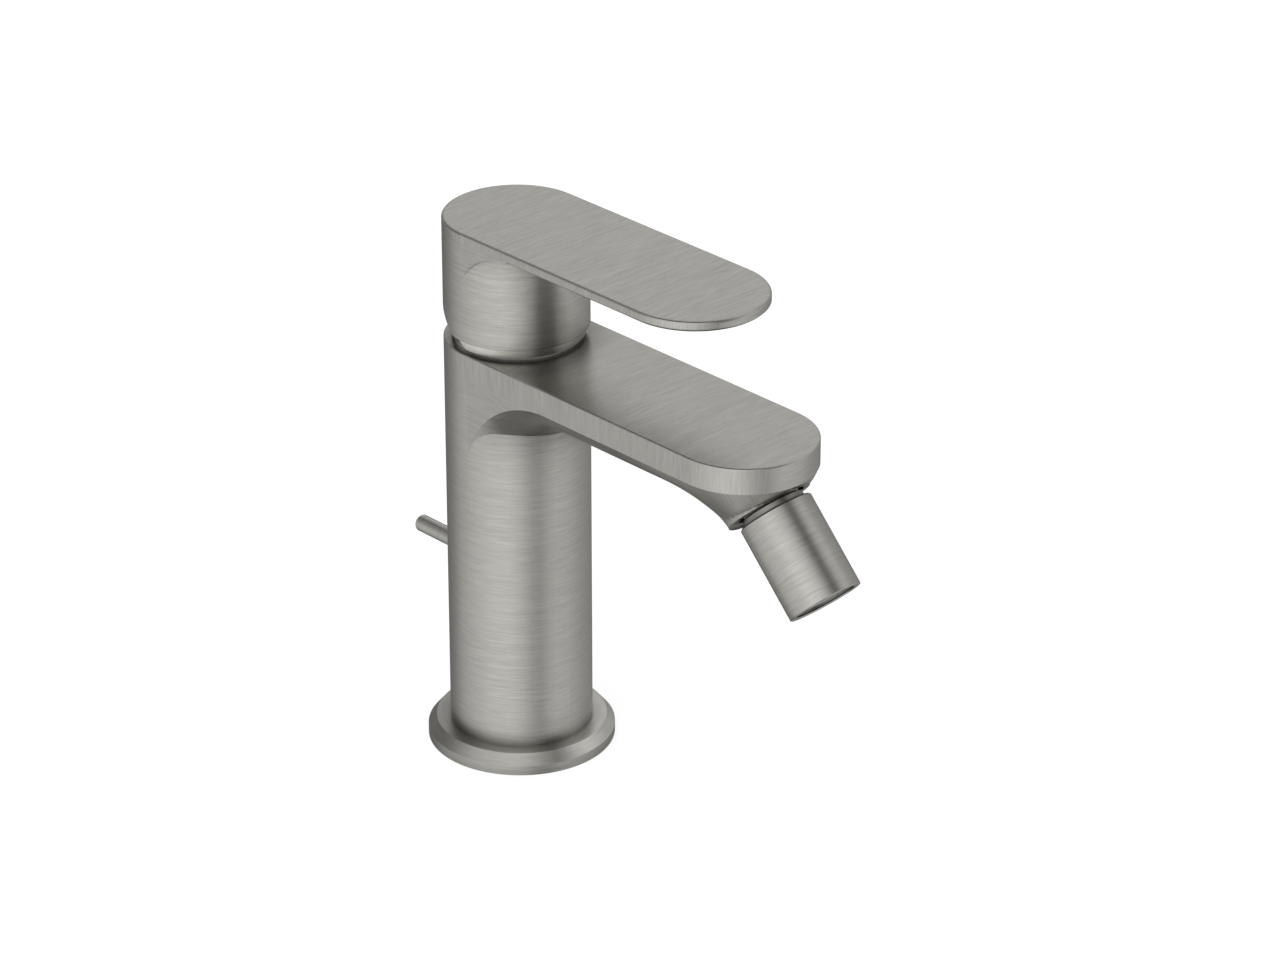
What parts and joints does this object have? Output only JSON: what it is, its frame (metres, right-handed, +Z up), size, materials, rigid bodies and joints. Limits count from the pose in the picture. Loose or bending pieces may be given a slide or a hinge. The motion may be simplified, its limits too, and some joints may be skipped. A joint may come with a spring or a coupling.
{
  "type": "bidet mixer tap",
  "caption": "Single-lever deck tap with a round column, flat rounded spout, tilting nozzle on a ball joint, flat plate lever, sloped base flange and rear drain pin.",
  "frame": {"origin": "centre of the column's axis on the deck, level with the underside of the base gasket", "axes": "+Z up along the column, +X forwards along the spout and the lever, +Y to the object's left as seen from behind it, so +X is the longest extent and +Y the shortest"},
  "size_m": [0.1882, 0.0592, 0.1786],
  "materials": {
    "brushed_nickel": "fine brushed satin nickel",
    "cover_plastic": "matte",
    "ball_metal": "smooth satin",
    "seal_rubber": "matte",
    "cartridge_plastic": "matte",
    "carrier_plastic": "matte",
    "ceramic": "polished",
    "plain_steel": "plain",
    "plain_brass": "machined",
    "guide_plastic": "matte",
    "aerator_plastic": "satin",
    "grid_plastic": "satin"
  },
  "bodies": {
    "base": {"body": "brushed_nickel", "base_flange": "brushed_nickel", "base_gasket": "seal_rubber", "cartridge_base": "cartridge_plastic", "port_seals": "seal_rubber", "lower_disc": "ceramic", "cartridge_housing": "cartridge_plastic", "cartridge_nut": "plain_brass", "cover_ring": "cover_plastic", "rod_guide_bush": "guide_plastic", "snap_ring": "plain_steel"},
    "turret": {"stem_turret": "carrier_plastic", "pivot_pin": "plain_steel"},
    "lever": {"lever_handle": "brushed_nickel", "lever_spindle": "plain_brass", "handle_screw": "plain_steel"},
    "disc": {"upper_disc": "ceramic", "disc_carrier": "carrier_plastic"},
    "drain": {"drain_pin": "brushed_nickel", "rod_head": "plain_brass", "lift_rod": "plain_steel"},
    "swivel": {"ball_seal": "seal_rubber"},
    "nozzle": {"nozzle_ball": "ball_metal", "nozzle_sleeve": "brushed_nickel", "aerator_housing": "aerator_plastic", "aerator_grid": "grid_plastic", "aerator_seal": "seal_rubber"}
  },
  "joints": [
    {"name": "handle_turn", "type": "hinge", "parent": "base", "child": "turret", "pos_m": [0, 0, 0.1405], "axis": [0, 0, 1], "range_deg": [-45, 45]},
    {"name": "handle_lift", "type": "hinge", "parent": "turret", "child": "lever", "pos_m": [0, 0, 0.1405], "axis": [0, -1, 0], "range_deg": [0, 18]},
    {"name": "disc_slide", "type": "slide", "parent": "turret", "child": "disc", "axis": [1, 0, 0], "range_m": [0, 0.00532]},
    {"name": "drain_lift", "type": "slide", "parent": "base", "child": "drain", "axis": [0, 0, 1], "range_m": [0, 0.025]},
    {"name": "nozzle_pitch", "type": "hinge", "parent": "base", "child": "swivel", "pos_m": [0.10659, 0, 0.12414], "axis": [0, 1, 0], "range_deg": [-6, 6]},
    {"name": "nozzle_yaw", "type": "hinge", "parent": "swivel", "child": "nozzle", "pos_m": [0.10659, 0, 0.12414], "axis": [0.7193, 0, 0.6947], "range_deg": [-6, 6]}
  ],
  "couplings": [
    {"joint": "disc_slide", "follows": "handle_lift", "m_per_rad": 0.01674}
  ]
}
